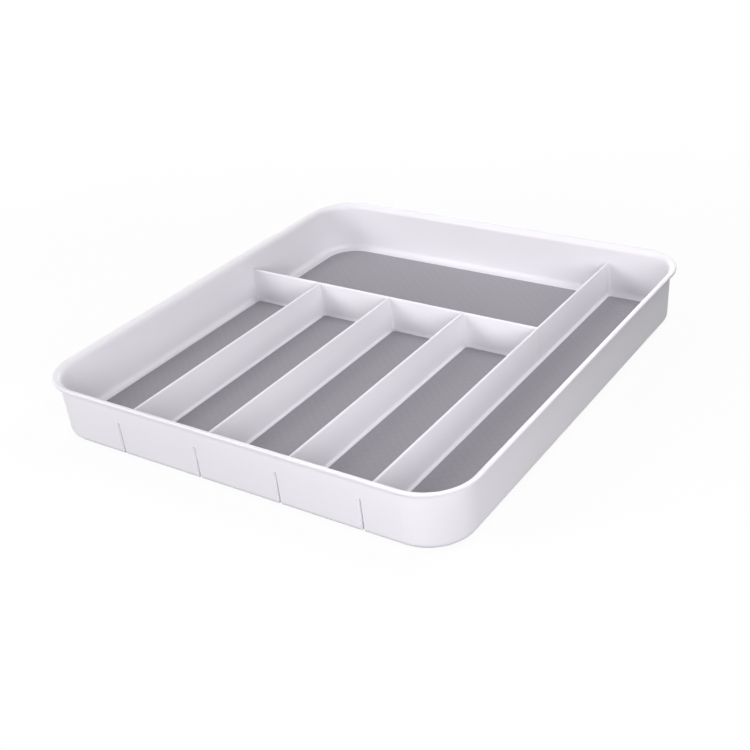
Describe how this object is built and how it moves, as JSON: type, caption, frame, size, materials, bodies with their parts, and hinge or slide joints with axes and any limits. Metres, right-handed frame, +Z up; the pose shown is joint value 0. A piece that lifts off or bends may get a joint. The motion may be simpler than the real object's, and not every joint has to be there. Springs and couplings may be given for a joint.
{
  "type": "cutlery tray",
  "caption": "Open cutlery tray with a rolled rim, short and long compartments between low dividers, soft embossed liners in the floors and small feet underneath.",
  "frame": {"origin": "on the table under the middle of the tray", "axes": "+X along the front from left to right, +Y from front to back, +Z up"},
  "size_m": [0.352, 0.3916, 0.0462],
  "materials": {
    "tray_plastic": "satin white moulded plastic",
    "liner": "matt grey soft sheet with a fine embossed pattern",
    "adhesive": "thin pale adhesive film",
    "foot_rubber": "matt grey rubber"
  },
  "bodies": {
    "root": {"tray_body": "tray_plastic", "liner_short_1": "liner", "liner_short_2": "liner", "liner_short_3": "liner", "liner_short_4": "liner", "liner_long": "liner", "liner_wide": "liner", "liner_film_short_1": "adhesive", "liner_film_short_2": "adhesive", "liner_film_short_3": "adhesive", "liner_film_short_4": "adhesive", "liner_film_long": "adhesive", "liner_film_wide": "adhesive", "foot_front_left": "foot_rubber", "foot_front_right": "foot_rubber", "foot_middle_left": "foot_rubber", "foot_middle_right": "foot_rubber", "foot_back_left": "foot_rubber", "foot_back_right": "foot_rubber", "foot_films": "adhesive"}
  },
  "joints": []
}
